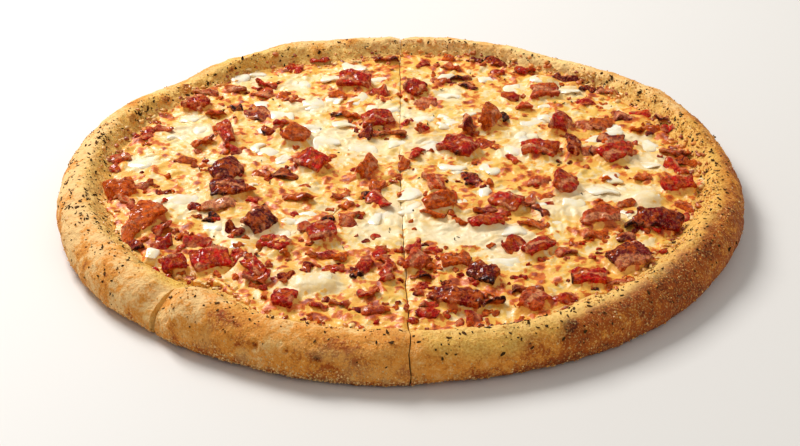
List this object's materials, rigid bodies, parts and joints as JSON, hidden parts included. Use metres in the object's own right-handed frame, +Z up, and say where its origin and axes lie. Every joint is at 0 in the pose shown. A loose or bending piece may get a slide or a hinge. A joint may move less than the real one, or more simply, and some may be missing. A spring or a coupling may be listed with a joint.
{
  "type": "bacon and onion pizza",
  "caption": "Round baked pizza with a thick hand-formed herbed rim, cut into pieces that lie together, topped with melted cheese, bacon and onion",
  "frame": {"origin": "middle of the pizza's underside, on the surface it lies on", "axes": "+Z up out of the topping; +X to the right and +Y to the back as the picture looks at it, with the front cut along -Y"},
  "size_m": [0.3562, 0.355, 0.0247],
  "materials": {
    "crust": "baked dough, golden brown with a pale grainy surface",
    "sauce": "moist tomato sauce",
    "cheese": "melted mozzarella, oily, with toasted spots",
    "bacon": "fried bacon, oily, with dark edges",
    "onion": "cooked onion, moist and slightly translucent"
  },
  "bodies": {
    "root": {"bacon_01": "bacon", "bacon_02": "bacon", "bacon_03": "bacon", "bacon_04": "bacon", "bacon_05": "bacon", "bacon_06": "bacon", "bacon_07": "bacon", "bacon_08": "bacon", "bacon_09": "bacon", "bacon_10": "bacon", "bacon_11": "bacon", "bacon_12": "bacon", "bacon_13": "bacon", "bacon_14": "bacon", "bacon_15": "bacon", "bacon_16": "bacon", "bacon_17": "bacon", "bacon_18": "bacon", "bacon_19": "bacon", "bacon_20": "bacon", "bacon_21": "bacon", "bacon_22": "bacon", "bacon_23": "bacon", "bacon_24": "bacon", "bacon_25": "bacon", "bacon_26": "bacon", "bacon_27": "bacon", "bacon_28": "bacon", "bacon_29": "bacon", "bacon_30": "bacon", "bacon_31": "bacon", "bacon_32": "bacon", "bacon_33": "bacon", "bacon_34": "bacon", "bacon_35": "bacon", "bacon_36": "bacon", "bacon_37": "bacon", "bacon_38": "bacon", "bacon_39": "bacon", "bacon_40": "bacon", "bacon_41": "bacon", "bacon_42": "bacon", "bacon_43": "bacon", "cheese_front_left": "cheese", "cheese_left": "cheese", "cheese_left_back": "cheese", "cheese_right": "cheese", "dough_front_left": "crust", "dough_left": "crust", "dough_left_back": "crust", "dough_right": "crust", "onion_01": "onion", "onion_02": "onion", "onion_03": "onion", "onion_04": "onion", "onion_05": "onion", "sauce_front_left": "sauce", "sauce_left": "sauce", "sauce_left_back": "sauce", "sauce_right": "sauce"}
  },
  "joints": []
}
